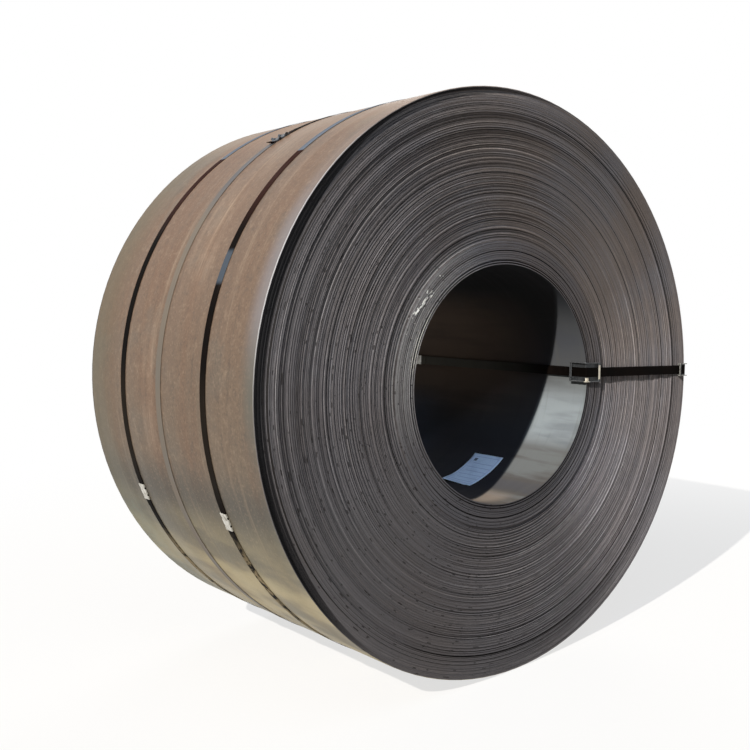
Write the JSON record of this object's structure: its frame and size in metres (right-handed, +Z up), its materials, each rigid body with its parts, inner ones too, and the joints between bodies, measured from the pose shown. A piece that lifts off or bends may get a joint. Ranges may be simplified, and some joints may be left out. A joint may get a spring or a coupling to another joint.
{
  "type": "steel coil",
  "caption": "Large coil of hot-rolled steel strip lying on its side, with an open bore, flat steel straps round it and through its eye, crimped seals, corner protectors and a paper label.",
  "frame": {"origin": "on the floor, under the middle of the coil", "axes": "+Z up, +Y along the axis of the coil from its front end to its back end, +X towards the side that the eye strap runs down"},
  "size_m": [1.8733, 1.071, 1.8633],
  "materials": {
    "coil_steel": "hot-rolled, dull with mill scale and light rust",
    "black_strap": "black waxed strap, half gloss",
    "grey_strap": "bare steel strap, dull",
    "zinc": "galvanised, satin",
    "label_paper": "matt paper"
  },
  "bodies": {
    "root": {"coil": "coil_steel", "strap_front": "black_strap", "strap_middle": "grey_strap", "strap_back": "black_strap", "eye_strap": "black_strap", "seal_front": "zinc", "seal_middle": "zinc", "seal_back": "zinc", "seal_eye": "zinc", "protector_front_inner": "zinc", "protector_front_outer": "zinc", "protector_back_inner": "zinc", "protector_back_outer": "zinc", "label": "label_paper"}
  },
  "joints": []
}
